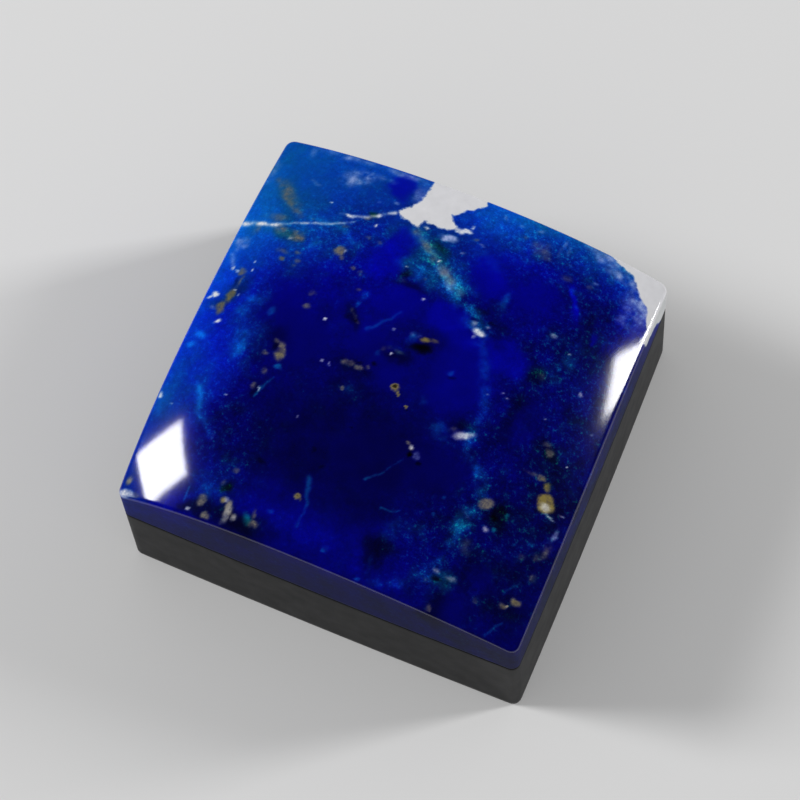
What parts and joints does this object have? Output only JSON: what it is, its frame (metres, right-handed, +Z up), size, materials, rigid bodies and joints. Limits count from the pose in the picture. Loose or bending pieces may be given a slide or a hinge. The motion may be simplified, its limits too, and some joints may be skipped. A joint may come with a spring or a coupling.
{
  "type": "polished lapis lazuli tile on a base block",
  "caption": "Square polished lapis lazuli tile with a low domed top, bonded flush on a black straight-sided base block.",
  "frame": {"origin": "middle of the base block's flat underside", "axes": "+Z up through the middle of the stone, -Y towards the front of the tile, +X to its right"},
  "size_m": [0.0186, 0.0184, 0.01],
  "materials": {
    "lapis": "polished, ultramarine blue with white calcite and small pyrite grains",
    "block": "satin black with fine upright lines"
  },
  "bodies": {
    "root": {"lapis_tile": "lapis", "base_block": "block"}
  },
  "joints": []
}
